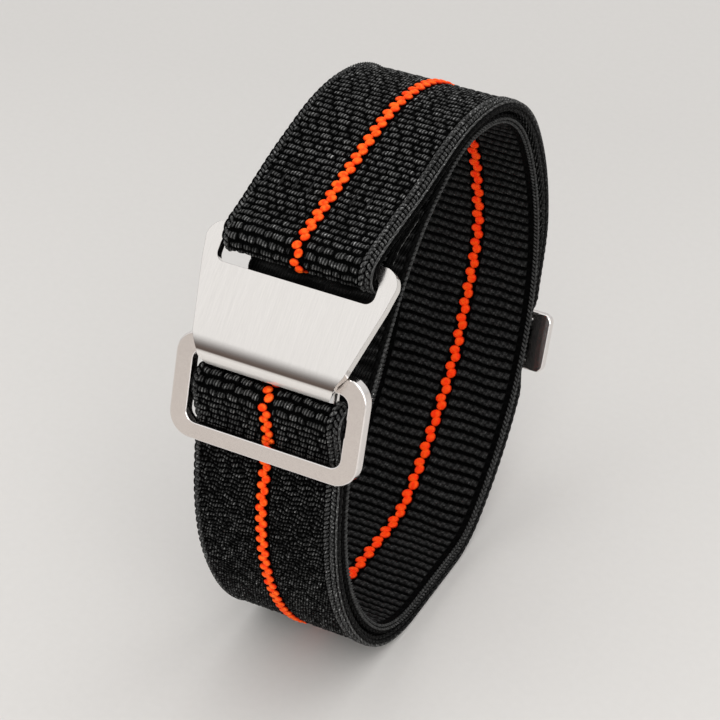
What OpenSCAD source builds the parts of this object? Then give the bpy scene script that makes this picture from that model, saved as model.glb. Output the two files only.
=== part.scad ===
// Elastic webbing band closed into a loop, with a flat hook, a ring and a three-bar slider.
// X runs across the band, -Y is the clasp side, +Z is up, and the loop rests on Z = 0.

/* [Webbing] */
// Width of the elastic webbing
band_w = 20; // [18:0.5:22]
// Thickness of one layer of webbing
layer_t = 1.45; // [1.25:0.05:1.6]
// Space between the two layers
layer_gap = 0.25; // [0.2:0.05:0.4]
// Width of the coloured centre stripe
stripe_w = 1.7; // [1.2:0.1:2.4]

/* [Loop] */
// Height of the closed loop without the clasp's slack
loop_h = 68.4; // [66:0.5:74]
// Length that lies flat on the table
rest_len = 12; // [8:0.5:16]

/* [Clasp] */
// Width of the ring's side bars and of the metal beside the hook's slot
clasp_side = 2.3; // [2:0.1:3]

/* [Ring] */
// Height of the ring frame along the band
ring_h = 13.4; // [13:0.1:14.5]
// Thickness of the ring frame
ring_t = 1.5; // [1.3:0.1:1.7]
// Diameter of the ring's hidden middle bar
ring_pin_d = 1.5; // [1.3:0.1:1.6]

/* [Hook] */
// Thickness of the bent hook plate
hook_t = 1.25; // [1.1:0.05:1.35]
// Length of the plate above the bend
hook_len = 13.5; // [12.5:0.1:15]
// Length of the bent-in leg behind the ring's bar
hook_leg = 2.2; // [1.5:0.1:3]

/* [Slider] */
// Distance between the slider's outer bars
slider_pitch = 3.7; // [3.6:0.1:4.6]
// Diameter of the slider's bars
slider_bar_d = 1.2; // [1:0.1:1.3]
// Width of the slider's end plates
slider_end = 2.1; // [1.6:0.1:2.4]

/* [Hidden] */
$fn = 48;
k = loop_h/68.4;
half_t = layer_t/2;
inset = layer_t+layer_gap;
// Depth and standing height of the stripe in its groove
groove_d = 0.35;
stripe_up = 0.12;
// Clearances
side_clear = 0.3;
bar_clear = 0.1;
slider_clear = 0.2;
ring_clear = 0.3;
cut = 1;
hair = 0.01;
lap_len = 0.06;
chamfer = 0.22;

// Back branch: radii and the angles at which they meet
r_b1 = 12*k;
r_b2 = 43.5*k;
r_b3 = 19.5*k;
r_b4 = 26*k;
a_b1 = -54;
a_b2 = 28;
a_b3 = 77;
// Front branch
r_f1 = 17.5*k;
r_f2 = 32*k;
r_f3 = 38*k;
a_f1 = 223;
a_f2 = 186;
a_f3 = 163;
c_b1 = [rest_len/2, r_b1];
c_b2 = c_b1+(r_b1-r_b2)*dir(a_b1);
c_b3 = c_b2+(r_b2-r_b3)*dir(a_b2);
c_b4 = c_b3+(r_b3-r_b4)*dir(a_b3);
c_f1 = [-rest_len/2, r_f1];
c_f2 = c_f1+(r_f1-r_f2)*dir(a_f1);
c_f3 = c_f2+(r_f2-r_f3)*dir(a_f2);
front_end = c_f3+r_f3*dir(a_f3);

// Ring, drawn in its own plane: s runs up it from front_end, o outward
ring_lean = a_f3-90;
ring_drop = 1.7;
ring_bar = 2.2;
ring_w = band_w+2*side_clear+2*clasp_side;
ring_r = 3;
window_r = 1.3;
window_slack = 0.1;
window_lo = ring_bar-ring_drop-window_slack;
window_hi = ring_h-ring_drop-ring_bar;
pin_s = 5.4*ring_h/13.4;
pin_wrap = ring_pin_d/2+bar_clear+half_t;
lug_d = 2.2;
lug_len = 1.4;
ring_pin_len = band_w+2*side_clear+2*lug_len;

// Strap round the ring's lower bar and middle bar
edge_r = window_lo;
turn_c = [0, ring_clear+edge_r];
turn_r = ring_clear+edge_r+half_t;
rise_d = norm([pin_s, 0]-turn_c);
rise_a = atan2(-turn_c[1], pin_s-turn_c[0])+asin((turn_r+pin_wrap)/rise_d);
rise_len = sqrt(rise_d*rise_d-pow(turn_r+pin_wrap, 2));
back_a = 12;
back_r = 5;
back_len = (inset+half_t-pin_wrap*cos(back_a)-back_r*(1-cos(back_a)))/sin(back_a);
back_s = pin_s+pin_wrap*sin(back_a)-back_len*cos(back_a)-back_r*sin(back_a);

// Hook, drawn in its own plane: h runs up the plate from the centre of the bend
hook_tilt = 45;
hook_ri = 1.65;
hook_seat = 0.35;
slot_hw = band_w/2+side_clear;
hook_bar = 1.5;
slot_top = hook_len-hook_bar;
slot_h = 3.25;
slot_r = 1.1;
hook_corner = 2.2;
hook_shoulder = 2.6;
hook_side_in = 0.15;
hook_taper = 0.45;
hook_w = ring_w-2*hook_side_in;
hook_low_w = band_w-0.2;
lip_w = band_w-2;
lip_r = 1.1;
hook_bar_c = hook_len-hook_bar/2;
fold_clear = 0.03;
wrap_in = norm([hook_bar/2, hook_t/2])+fold_clear;
wrap_r = wrap_in+layer_t;
hook_c = front_end+(ring_h-ring_drop-ring_bar/2)*dir(ring_lean)
    +(ring_clear+ring_t/2)*dir(ring_lean+90)+hook_seat*dir(hook_tilt);
fold_c = hook_c+hook_bar_c*dir(hook_tilt)+(hook_ri+hook_t/2)*dir(hook_tilt+90);
top_d = norm(fold_c-c_b4);
top_a = atan2(fold_c[1]-c_b4[1], fold_c[0]-c_b4[0])-acos((r_b4-wrap_r)/top_d);
top_len = sqrt(top_d*top_d-pow(r_b4-wrap_r, 2));
sewn_len = 10;
tab_a = 25;
tab_r = 4;
tab_wrap = wrap_in+half_t;
tab_len = (tab_wrap*(1+cos(tab_a))-tab_r*(1-cos(tab_a))-inset)/sin(tab_a);
tab_flat = 4.5;
shoulder_a = a_b3+12;

// Inner layer in front of the top arc
r_i4 = r_b4-inset-half_t;
r_i5 = 14.7*k;
r_i6 = 30.7*k;
r_i7 = 14.7;
a_i4 = 88;
a_i5 = 118;
a_i6 = 143;
// The tail ends this far up the ring's plane and this far behind it, clear of the strap's fold
tail_s = 2;
tail_clear = 0.2;
tail_o = -inset-layer_t-stripe_up-tail_clear-half_t;
tail_len = 2.2;
tip_len = 0.8;
tip_squeeze = 0.15;
tip_in = 0.5;
c_i5 = c_b4+(r_i4-r_i5)*dir(a_i4);
p_i5 = c_i5+r_i5*dir(a_i5);
p_i7 = front_end+tail_s*dir(ring_lean)+tail_o*dir(a_f3);
c_i7 = p_i7-r_i7*dir(a_f3);
// The two straights whose lengths let the tail's bends meet that end
tail_gap = c_i7+r_i7*dir(a_i6)-p_i5-r_i6*(dir(a_i6)-dir(a_i5));
len_i5 = cross2(tail_gap, dir(a_i6+90))/cross2(dir(a_i5+90), dir(a_i6+90));
len_i6 = cross2(dir(a_i5+90), tail_gap)/cross2(dir(a_i5+90), dir(a_i6+90));
c_i6 = p_i5+len_i5*dir(a_i5+90)-r_i6*dir(a_i5);
p_i6 = c_i6+r_i6*dir(a_i6);

// Slider on the large back arc
slide_a = -19.6;
slider_side_clear = 0.1;
slider_w = band_w+2*slider_end+2*slider_side_clear;
slider_h = 2*slider_pitch+slider_bar_d;
slider_flat = 0.05;
bar_wrap = slider_bar_d/2+slider_clear+half_t;
slider_half_a = asin(slider_pitch/(r_b2-half_t+bar_wrap));
slider_x = (r_b2-half_t+bar_wrap)*cos(slider_half_a);
cross_a = asin(2*bar_wrap/slider_pitch);
cross_len = sqrt(slider_pitch*slider_pitch-4*bar_wrap*bar_wrap);

// Stitches that close the hook's fold
stitch_n = 10;
stitch_len = 2.4;
stitch_d = 0.3;
stitch_in = 1.5;

function dir(a) = [cos(a), sin(a)];
function cross2(a, b) = a[0]*b[1]-a[1]*b[0];

// Turns a drawing whose x and y are the loop's Y and Z, and whose z is the band's width, into place
module across()
{
    rotate([90, 0, 90])
        children();
}

module ring_place()
{
    across()
        translate([front_end[0], front_end[1], 0])
            rotate(ring_lean)
                children();
}

module hook_place()
{
    across()
        translate([hook_c[0], hook_c[1], 0])
            rotate(hook_tilt)
                children();
}

module slider_place()
{
    across()
        translate([c_b2[0], c_b2[1], 0])
            rotate(slide_a)
                children();
}

// Cross-section of the webbing: rounded selvages and a groove for the stripe on the face side.
// Every second stretch is thinner by a hair, so that its ends run into its neighbours and join them
module web_section(face, thin)
{
    difference()
    {
        union()
        {
            square([layer_t-2*thin, band_w-layer_t], center = true);
            for (end = [-1, 1])
                translate([0, end*(band_w-layer_t)/2])
                    circle(d = layer_t-2*thin);
        }
        translate([face*half_t, 0])
            square([2*(groove_d+thin), stripe_w+2*thin], center = true);
    }
}

module stripe_section(face, thin)
{
    translate([face*(half_t-(groove_d-stripe_up)/2), 0])
        square([groove_d+stripe_up-2*thin, stripe_w-2*thin], center = true);
}

module section(face, yarn, thin)
{
    if (yarn)
        stripe_section(face, thin);
    else
        web_section(face, thin);
}

// One stretch about the centre c at mid radius r, or straight from p.
// lap says at which of its ends it runs into a neighbour
module bend(c, r, from, to, face, yarn, lap = [0, 0])
{
    turn = lap_len*180/(PI*r);
    translate([c[0], c[1], 0])
        rotate(from-lap[0]*turn)
            rotate_extrude(angle = to-from+(lap[0]+lap[1])*turn)
                translate([r, 0])
                    section(face, yarn, lap[0]+lap[1] > 0 ? hair : 0);
}

module run(p, heading, len, face, yarn, lap = [0, 0])
{
    translate([p[0], p[1], 0])
        rotate(heading-90)
            translate([0, len+lap[1]*lap_len, 0])
                rotate([90, 0, 0])
                    linear_extrude(len+(lap[0]+lap[1])*lap_len)
                        section(face, yarn, lap[0]+lap[1] > 0 ? hair : 0);
}

module bottom_run(depth, face, yarn)
{
    across()
    {
        run([-rest_len/2, depth+half_t], 0, rest_len, face, yarn, [1, 1]);
        bend(c_b1, r_b1-depth-half_t, -90, a_b1, face, yarn);
        bend(c_f1, r_f1-depth-half_t, a_f1, 270, face, yarn);
    }
}

module front_run(depth, face, yarn)
{
    across()
    {
        bend(c_f2, r_f2-depth-half_t, a_f2, a_f1, face, yarn);
        bend(c_f3, r_f3-depth-half_t, a_f3, a_f2, face, yarn, [0, 1]);
    }
}

module ring_fold_run(yarn)
{
    ring_place()
    {
        bend(turn_c, turn_r, -90, rise_a-90, -1, yarn);
        run(turn_c+turn_r*dir(rise_a-90), rise_a, rise_len, -1, yarn, [1, 1]);
        bend([pin_s, 0], pin_wrap, back_a-90, rise_a+90, 1, yarn);
        run([pin_s, 0]+pin_wrap*dir(back_a-90), back_a-180, back_len, -1, yarn, [1, 1]);
        bend([back_s, back_r-inset-half_t], back_r, -90, back_a-90, 1, yarn);
        run([back_s, -inset-half_t], 180, back_s, -1, yarn, [1, 0]);
    }
}

module hook_fold_run(yarn)
{
    across()
    {
        run(fold_c+tab_wrap*dir(top_a)-sewn_len*dir(top_a+90), top_a+90, sewn_len, 1, yarn);
        bend(fold_c, tab_wrap, top_a, top_a+180+tab_a, 1, yarn, [1, 1]);
        run(fold_c+tab_wrap*dir(top_a+180+tab_a), top_a+270+tab_a, tab_len, 1, yarn);
        bend(tab_turn_c(), tab_r, top_a, top_a+tab_a, -1, yarn, [1, 1]);
        run(tab_turn_c()+tab_r*dir(top_a), top_a-90, tab_flat, 1, yarn);
    }
}

function tab_turn_c() = fold_c+tab_wrap*dir(top_a+180+tab_a)+tab_len*dir(top_a+270+tab_a)
    -tab_r*dir(top_a+tab_a);

module slider_fold_half(yarn)
{
    bend([slider_x, -slider_pitch], bar_wrap, 180-cross_a, 180-slider_half_a, -1, yarn);
    run([slider_x, -slider_pitch]+bar_wrap*dir(180-cross_a), 90-cross_a, cross_len, 1, yarn, [1, 1]);
}

module slider_fold_run(yarn)
{
    slider_place()
    {
        slider_fold_half(yarn);
        mirror([0, 1, 0])
            slider_fold_half(yarn);
        bend([slider_x, 0], bar_wrap, -cross_a, cross_a, 1, yarn);
    }
}

// Chamfered slab with round corners, and the matching opening, both about the origin from z = 0
module slab(w, h, t, r, c)
{
    half = [w/2-r, h/2-r];
    rotate([90, 0, 0])
        linear_extrude(2*half[1], center = true)
            slab_edge(w/2, t, c);
    rotate([90, 0, 90])
        linear_extrude(2*half[0], center = true)
            slab_edge(h/2, t, c);
    for (x = [-1, 1])
        for (y = [-1, 1])
            translate([x*half[0], y*half[1], 0])
                rotate_extrude()
                    intersection()
                    {
                        slab_edge(r, t, c);
                        translate([0, -cut])
                            square([r, t+2*cut]);
                    }
}

module slab_edge(half, t, c)
{
    polygon([[-half, c], [c-half, 0], [half-c, 0], [half, c],
        [half, t-c], [half-c, t], [c-half, t], [-half, t-c]]);
}

module slab_hole(w, h, t, r, c)
{
    half = [w/2-r, h/2-r];
    rotate([90, 0, 0])
        linear_extrude(2*half[1], center = true)
            hole_edge(w/2, t, c);
    rotate([90, 0, 90])
        linear_extrude(2*half[0], center = true)
            hole_edge(h/2, t, c);
    for (x = [-1, 1])
        for (y = [-1, 1])
            translate([x*half[0], y*half[1], 0])
                rotate_extrude()
                    intersection()
                    {
                        hole_edge(r, t, c);
                        translate([0, -2*cut])
                            square([r+c+2*cut, t+4*cut]);
                    }
}

module hole_edge(half, t, c)
{
    wide = half+c+cut;
    polygon([[-wide, -cut], [wide, -cut], [half, c], [half, t-c],
        [wide, t+cut], [-wide, t+cut], [-half, t-c], [-half, c]]);
}

module outer_band_bottom()
{
    color([0.13, 0.13, 0.14])
        bottom_run(0, 1, false);
}

module outer_band_front()
{
    color([0.13, 0.13, 0.14])
        front_run(0, 1, false);
}

module outer_band_back_lower()
{
    color([0.13, 0.13, 0.14])
        across()
            bend(c_b2, r_b2-half_t, a_b1, slide_a-slider_half_a, 1, false);
}

module outer_band_back_upper()
{
    color([0.13, 0.13, 0.14])
        across()
            bend(c_b2, r_b2-half_t, slide_a+slider_half_a, a_b2, 1, false);
}

module outer_band_shoulder()
{
    color([0.13, 0.13, 0.14])
        across()
        {
            bend(c_b3, r_b3-half_t, a_b2, a_b3, 1, false);
            bend(c_b4, r_b4-half_t, a_b3, shoulder_a, 1, false, [1, 0]);
        }
}

module outer_band_top()
{
    color([0.13, 0.13, 0.14])
        across()
        {
            bend(c_b4, r_b4-half_t, shoulder_a, top_a, 1, false);
            run(c_b4+(r_b4-half_t)*dir(top_a), top_a+90, top_len-sewn_len, 1, false, [1, 0]);
        }
}

module ring_fold()
{
    color([0.13, 0.13, 0.14])
        ring_fold_run(false);
}

module hook_fold()
{
    color([0.13, 0.13, 0.14])
        hook_fold_run(false);
}

module slider_fold()
{
    color([0.13, 0.13, 0.14])
        slider_fold_run(false);
}

module inner_band_front()
{
    color([0.15, 0.15, 0.16])
        front_run(inset, -1, false);
}

module inner_band_bottom()
{
    color([0.15, 0.15, 0.16])
        bottom_run(inset, -1, false);
}

module inner_band_back()
{
    color([0.15, 0.15, 0.16])
        across()
            bend(c_b2, r_b2-inset-half_t, a_b1, a_b2, -1, false);
}

module inner_top_run(yarn)
{
    across()
    {
        bend(c_b3, r_b3-inset-half_t, a_b2, a_b3, -1, yarn);
        bend(c_b4, r_i4, a_b3, a_i4, -1, yarn, [1, 1]);
        bend(c_i5, r_i5, a_i4, a_i5, -1, yarn);
    }
}

module inner_tail_run(yarn)
{
    across()
    {
        run(p_i5, a_i5+90, len_i5, -1, yarn);
        bend(c_i6, r_i6, a_i5, a_i6, -1, yarn, [1, 1]);
        run(p_i6, a_i6+90, len_i6, -1, yarn);
        bend(c_i7, r_i7, a_i6, a_f3, -1, yarn, [1, 1]);
        run(p_i7, a_f3+90, tail_len, -1, yarn);
    }
}

module inner_band_top()
{
    color([0.15, 0.15, 0.16])
        inner_top_run(false);
}

module inner_band_tail()
{
    color([0.15, 0.15, 0.16])
        inner_tail_run(false);
}

module outer_stripe_bottom()
{
    color([1, 0.3, 0.04])
        bottom_run(0, 1, true);
}

module outer_stripe_front()
{
    color([1, 0.3, 0.04])
        front_run(0, 1, true);
}

module outer_stripe_back_lower()
{
    color([1, 0.3, 0.04])
        across()
            bend(c_b2, r_b2-half_t, a_b1, slide_a-slider_half_a, 1, true);
}

module outer_stripe_back_upper()
{
    color([1, 0.3, 0.04])
        across()
            bend(c_b2, r_b2-half_t, slide_a+slider_half_a, a_b2, 1, true);
}

module outer_stripe_shoulder()
{
    color([1, 0.3, 0.04])
        across()
        {
            bend(c_b3, r_b3-half_t, a_b2, a_b3, 1, true);
            bend(c_b4, r_b4-half_t, a_b3, shoulder_a, 1, true, [1, 0]);
        }
}

module outer_stripe_top()
{
    color([1, 0.3, 0.04])
        across()
        {
            bend(c_b4, r_b4-half_t, shoulder_a, top_a, 1, true);
            run(c_b4+(r_b4-half_t)*dir(top_a), top_a+90, top_len-sewn_len, 1, true, [1, 0]);
        }
}

module ring_fold_stripe()
{
    color([1, 0.3, 0.04])
        ring_fold_run(true);
}

module hook_fold_stripe()
{
    color([1, 0.3, 0.04])
        hook_fold_run(true);
}

module slider_fold_stripe()
{
    color([1, 0.3, 0.04])
        slider_fold_run(true);
}

module inner_stripe_front()
{
    color([0.95, 0.22, 0.02])
        front_run(inset, -1, true);
}

module inner_stripe_bottom()
{
    color([0.95, 0.22, 0.02])
        bottom_run(inset, -1, true);
}

module inner_stripe_back()
{
    color([0.95, 0.22, 0.02])
        across()
            bend(c_b2, r_b2-inset-half_t, a_b1, a_b2, -1, true);
}

module inner_stripe_top()
{
    color([0.95, 0.22, 0.02])
        inner_top_run(true);
}

module inner_stripe_tail()
{
    color([0.95, 0.22, 0.02])
        inner_tail_run(true);
}

module heat_sealed_tip()
{
    end_p = p_i7+tail_len*dir(a_f3+90);
    color([0.05, 0.05, 0.05])
        across()
            translate([end_p[0], end_p[1], 0])
                rotate(a_f3)
                    translate([0, tip_len/2, 0])
                        cube([layer_t-2*tip_squeeze, tip_len, band_w-2*tip_in], center = true);
}

module bar_tack()
{
    pitch = (band_w-2*layer_t)/(stitch_n-1);
    seam_p = fold_c-(sewn_len-stitch_len/2-stitch_in)*dir(top_a+90);
    color([0.09, 0.09, 0.1])
        across()
            translate([seam_p[0], seam_p[1], 0])
                rotate(top_a)
                    for (side = [wrap_r+stitch_d/2, wrap_r-layer_t-inset-stitch_d/2])
                        for (i = [0:stitch_n-1])
                            if (abs((i-(stitch_n-1)/2)*pitch) > stripe_w/2+stitch_d)
                                translate([side, 0, (i-(stitch_n-1)/2)*pitch])
                                    cube([stitch_d, stitch_len, stitch_d], center = true);
}

module hook_outline()
{
    top_x = hook_w/2-hook_corner;
    corner_h = hook_len-hook_corner;
    polygon([[0, -hook_low_w/2], [corner_h-hook_shoulder, -hook_w/2+hook_taper], [corner_h, -hook_w/2],
        [corner_h, hook_w/2], [corner_h-hook_shoulder, hook_w/2-hook_taper], [0, hook_low_w/2]]);
    translate([corner_h-cut, -top_x])
        square([hook_corner+cut, 2*top_x]);
    for (y = [-1, 1])
        translate([corner_h, y*top_x])
            circle(r = hook_corner);
}

module lip_outline()
{
    low = hook_ri+hook_t;
    polygon([[0, -hook_low_w/2], [0, hook_low_w/2], [lip_r-low, lip_w/2], [lip_r-low, -lip_w/2]]);
    translate([-low, lip_r-lip_w/2])
        square([low, lip_w-2*lip_r]);
    for (y = [-1, 1])
        translate([lip_r-low, y*(lip_w/2-lip_r)])
            circle(r = lip_r);
}

module hook_plate()
{
    color([0.86, 0.85, 0.84])
        hook_place()
        {
            difference()
            {
                translate([0, hook_ri+hook_t, 0])
                    rotate([90, 0, 0])
                        linear_extrude(hook_t)
                            hook_outline();
                translate([slot_top-slot_h/2, hook_ri+hook_t, 0])
                    rotate([90, 0, 0])
                        slab_hole(slot_h, 2*slot_hw, hook_t, slot_r, chamfer);
            }
            intersection()
            {
                union()
                {
                    rotate(90)
                        rotate_extrude(angle = 180)
                            translate([hook_ri, -hook_w/2])
                                square([hook_t, hook_w]);
                    translate([0, -hook_ri-hook_t, -hook_w/2])
                        cube([hook_leg, hook_t, hook_w]);
                }
                rotate([90, 0, 0])
                    linear_extrude(4*hook_w, center = true)
                        union()
                        {
                            lip_outline();
                            translate([0, -lip_w/2])
                                square([hook_leg+cut, lip_w]);
                        }
            }
        }
}

module ring_frame()
{
    mid_s = ring_h/2-ring_drop;
    color([0.8, 0.77, 0.74])
        ring_place()
        {
            difference()
            {
                translate([mid_s, ring_clear+ring_t, 0])
                    rotate([90, 0, 0])
                        slab(ring_h, ring_w, ring_t, ring_r, chamfer);
                translate([(window_lo+window_hi)/2, ring_clear+ring_t, 0])
                    rotate([90, 0, 0])
                        slab_hole(window_hi-window_lo, band_w+2*side_clear, ring_t, window_r, chamfer);
            }
            translate([pin_s, 0, 0])
                cylinder(d = ring_pin_d, h = ring_pin_len, center = true);
            for (end = [-1, 1])
                translate([pin_s, 0, end*(ring_pin_len-lug_len)/2])
                    cylinder(d = lug_d, h = lug_len, center = true);
        }
}

module slider_frame()
{
    color([0.62, 0.58, 0.56])
        slider_place()
        {
            for (y = [-slider_pitch, 0, slider_pitch])
                translate([slider_x, y, 0])
                    cylinder(d = slider_bar_d, h = slider_w-slider_end, center = true);
            for (end = [-1, 1])
                translate([slider_x-slider_bar_d/2, 0, end*(slider_w-slider_end)/2])
                    rotate([90, 0, 90])
                        slider_end_plate();
        }
}

module slider_end_plate()
{
    slab(slider_h, slider_end, slider_bar_d, slider_end/2-slider_flat, chamfer);
}

outer_band_bottom();
outer_band_front();
outer_band_back_lower();
outer_band_back_upper();
outer_band_shoulder();
outer_band_top();
ring_fold();
hook_fold();
slider_fold();
inner_band_front();
inner_band_bottom();
inner_band_back();
inner_band_top();
inner_band_tail();
outer_stripe_bottom();
outer_stripe_front();
outer_stripe_back_lower();
outer_stripe_back_upper();
outer_stripe_shoulder();
outer_stripe_top();
ring_fold_stripe();
hook_fold_stripe();
slider_fold_stripe();
inner_stripe_front();
inner_stripe_bottom();
inner_stripe_back();
inner_stripe_top();
inner_stripe_tail();
heat_sealed_tip();
bar_tack();
hook_plate();
ring_frame();
slider_frame();
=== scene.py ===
"""Looks for the stretch watch band: woven webbing with a beaded stripe, and three steel fittings.

The webbing is one long route of arcs and straights in the plane of the loop. Each stretch of it is a grid
wrapped round the webbing's cross-section, raised into ribs and floats, and laid along the route.
"""

from math import acos, asin, atan2, cos, degrees, pi, radians, sin, sqrt

import bpy
import numpy as np
from mathutils import Matrix, Vector


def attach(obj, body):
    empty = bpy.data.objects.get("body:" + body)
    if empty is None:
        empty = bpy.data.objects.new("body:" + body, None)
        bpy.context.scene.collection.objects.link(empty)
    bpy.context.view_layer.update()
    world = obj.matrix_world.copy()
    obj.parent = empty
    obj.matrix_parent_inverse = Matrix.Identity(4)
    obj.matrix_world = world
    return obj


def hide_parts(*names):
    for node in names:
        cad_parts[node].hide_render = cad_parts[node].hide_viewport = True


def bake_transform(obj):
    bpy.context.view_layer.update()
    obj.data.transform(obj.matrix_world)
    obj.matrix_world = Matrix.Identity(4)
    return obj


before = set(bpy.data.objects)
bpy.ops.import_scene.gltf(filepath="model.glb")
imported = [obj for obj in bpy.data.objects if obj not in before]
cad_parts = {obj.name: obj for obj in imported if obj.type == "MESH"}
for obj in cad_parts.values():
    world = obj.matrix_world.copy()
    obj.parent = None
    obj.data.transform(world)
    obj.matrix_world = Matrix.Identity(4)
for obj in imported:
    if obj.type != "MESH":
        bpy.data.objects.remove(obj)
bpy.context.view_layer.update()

# ---------------------------------------------------------------- measures, in millimetres
MM = 0.001
BAND_W = 20.0
LAYER_T = 1.45
LAYER_GAP = 0.25
HALF_T = LAYER_T / 2
INSET = LAYER_T + LAYER_GAP
REST_LEN = 12.0

# The ring: height, thickness, its side and end bars, and how far it hangs below the strap's fold
RING_H, RING_T, RING_SIDE, RING_BAR, RING_DROP = 13.4, 1.5, 2.3, 2.2, 1.7
RING_W = BAND_W + 0.6 + 2 * RING_SIDE
RING_CLEAR = 0.3
WINDOW_LO = RING_BAR - RING_DROP - 0.1
WINDOW_HI = RING_H - RING_DROP - RING_BAR
PIN_S, PIN_D = 5.4, 1.5
PIN_WRAP = PIN_D / 2 + 0.1 + HALF_T
LUG_LEN, LUG_D = 1.4, 2.2
PIN_LEN = BAND_W + 0.6 + 2 * LUG_LEN

# The hook: plate, leg behind the lip, tilt, inner radius of its bend, slot and outline
HOOK_T, HOOK_LEN, HOOK_W, HOOK_LEG, HOOK_TILT = 1.25, 13.5, 24.9, 2.2, 45
HOOK_RI, HOOK_SEAT, LEG_TAPER = 1.65, 0.35, 1.5
SLOT_H, SLOT_HALF_W, SLOT_R = 3.25, 10.3, 1.1
HOOK_CORNER, HOOK_SHOULDER, HOOK_LOW_W, LIP_W, LIP_R = 2.2, 2.6, 19.8, 18.0, 1.1

# The slider: pitch and diameter of its bars, end plates, and where it sits on the back, in degrees
SLIDER_PITCH, SLIDER_BAR_D, SLIDER_END, SLIDE_A = 3.7, 1.2, 2.1, -19.6
SLIDER_W = BAND_W + 2 * SLIDER_END + 0.2
PLATE_W = SLIDER_END + 0.6
SLIDER_H = 2 * SLIDER_PITCH + SLIDER_BAR_D


# ---------------------------------------------------------------- the webbing's route
# Outer radii of the loop's arcs, and the angles at which one arc hands over to the next
BACK_LOW_R, BACK_MID_R, BACK_HIGH_R, CROWN_R = 12.0, 43.5, 19.5, 26.0
FRONT_LOW_R, FRONT_MID_R, FRONT_HIGH_R = 17.5, 32.0, 38.0
TAIL_R, TAIL_WIDE_R = 14.7, 30.7
BACK_LOW_A, BACK_HIGH_A, CROWN_A, SHOULDER_A = -54, 28, 77, 89
FRONT_LOW_A, FRONT_MID_A, FRONT_HIGH_A = 223, 186, 163
TAIL_START_A, TAIL_BEND_A, TAIL_STEEP_A = 88, 118, 143
RING_LEAN = FRONT_HIGH_A - 90


def direction(angle):
    return np.array([cos(radians(angle)), sin(radians(angle))])


class Route:
    """Arcs and straights joined end to end in the loop's plane (Y, Z), from the hook's tab to the sealed tip."""

    def __init__(self):
        self.legs = []
        self.length = 0.0
        self.marks = {}

    def mark(self, name):
        self.marks[name] = self.length

    def arc(self, centre, radius, start, end):
        length = radius * abs(radians(end - start))
        self.legs.append(("arc", self.length, length, np.array(centre), radius, start, end))
        self.length += length

    def straight(self, start, heading, length):
        self.legs.append(("straight", self.length, length, np.array(start), 0, heading, heading))
        self.length += length

    def at(self, along):
        """Places and headings (radians) at distances along the route."""
        along = np.asarray(along, float)
        place = np.zeros((len(along), 2))
        heading = np.zeros(len(along))
        for i, (kind, begin, length, origin, radius, start, end) in enumerate(self.legs):
            last = i == len(self.legs) - 1
            inside = (along >= begin - 1e-9) & ((along < begin + length) | last)
            d = along[inside] - begin
            if kind == "straight":
                place[inside] = origin + d[:, None] * direction(start)
                heading[inside] = radians(start)
            else:
                way = 1 if end > start else -1
                a = radians(start) + way * d / radius
                place[inside] = origin + radius * np.stack([np.cos(a), np.sin(a)], 1)
                heading[inside] = a + way * pi / 2
        return place, heading


def local(origin, turn, x, y):
    """A point given in a frame that is turned about an origin."""
    return np.array(origin) + x * direction(turn) + y * direction(turn + 90)


back_low = np.array([REST_LEN / 2, BACK_LOW_R])
back_mid = back_low + (BACK_LOW_R - BACK_MID_R) * direction(BACK_LOW_A)
back_high = back_mid + (BACK_MID_R - BACK_HIGH_R) * direction(BACK_HIGH_A)
crown = back_high + (BACK_HIGH_R - CROWN_R) * direction(CROWN_A)
front_low = np.array([-REST_LEN / 2, FRONT_LOW_R])
front_mid = front_low + (FRONT_LOW_R - FRONT_MID_R) * direction(FRONT_LOW_A)
front_high = front_mid + (FRONT_MID_R - FRONT_HIGH_R) * direction(FRONT_MID_A)
front_end = front_high + FRONT_HIGH_R * direction(FRONT_HIGH_A)

# The bend of the hook's lip, the strap's fold through its slot, and the sewn tab behind it
hook_centre = (front_end + (RING_H - RING_DROP - RING_BAR / 2) * direction(RING_LEAN)
               + (RING_CLEAR + RING_T / 2) * direction(RING_LEAN + 90) + HOOK_SEAT * direction(HOOK_TILT))
WRAP_IN = sqrt(0.75 ** 2 + (HOOK_T / 2) ** 2) + 0.03
WRAP_R = WRAP_IN + LAYER_T
TAB_WRAP = WRAP_IN + HALF_T
SEWN_LEN, TAB_A, TAB_R, TAB_FLAT = 10.0, 25, 4.0, 4.5
fold_centre = (hook_centre + (HOOK_LEN - 0.75) * direction(HOOK_TILT)
               + (HOOK_RI + HOOK_T / 2) * direction(HOOK_TILT + 90))
top_d = float(np.linalg.norm(fold_centre - crown))
TOP_A = (degrees(atan2(fold_centre[1] - crown[1], fold_centre[0] - crown[0]))
         - degrees(acos((CROWN_R - WRAP_R) / top_d)))
TOP_LEN = sqrt(top_d ** 2 - (CROWN_R - WRAP_R) ** 2)
TAB_LEN = (TAB_WRAP * (1 + cos(radians(TAB_A))) - TAB_R * (1 - cos(radians(TAB_A))) - INSET) / sin(radians(TAB_A))
tab_turn = (fold_centre + TAB_WRAP * direction(TOP_A + 180 + TAB_A) + TAB_LEN * direction(TOP_A + 270 + TAB_A)
            - TAB_R * direction(TOP_A + TAB_A))

# The strap's S through the slider's bars
BAR_WRAP = SLIDER_BAR_D / 2 + 0.2 + HALF_T
SLIDER_HALF_A = degrees(asin(SLIDER_PITCH / (BACK_MID_R - HALF_T + BAR_WRAP)))
SLIDER_X = (BACK_MID_R - HALF_T + BAR_WRAP) * cos(radians(SLIDER_HALF_A))
CROSS_A = degrees(asin(2 * BAR_WRAP / SLIDER_PITCH))
CROSS_LEN = sqrt(SLIDER_PITCH ** 2 - 4 * BAR_WRAP ** 2)

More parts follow.
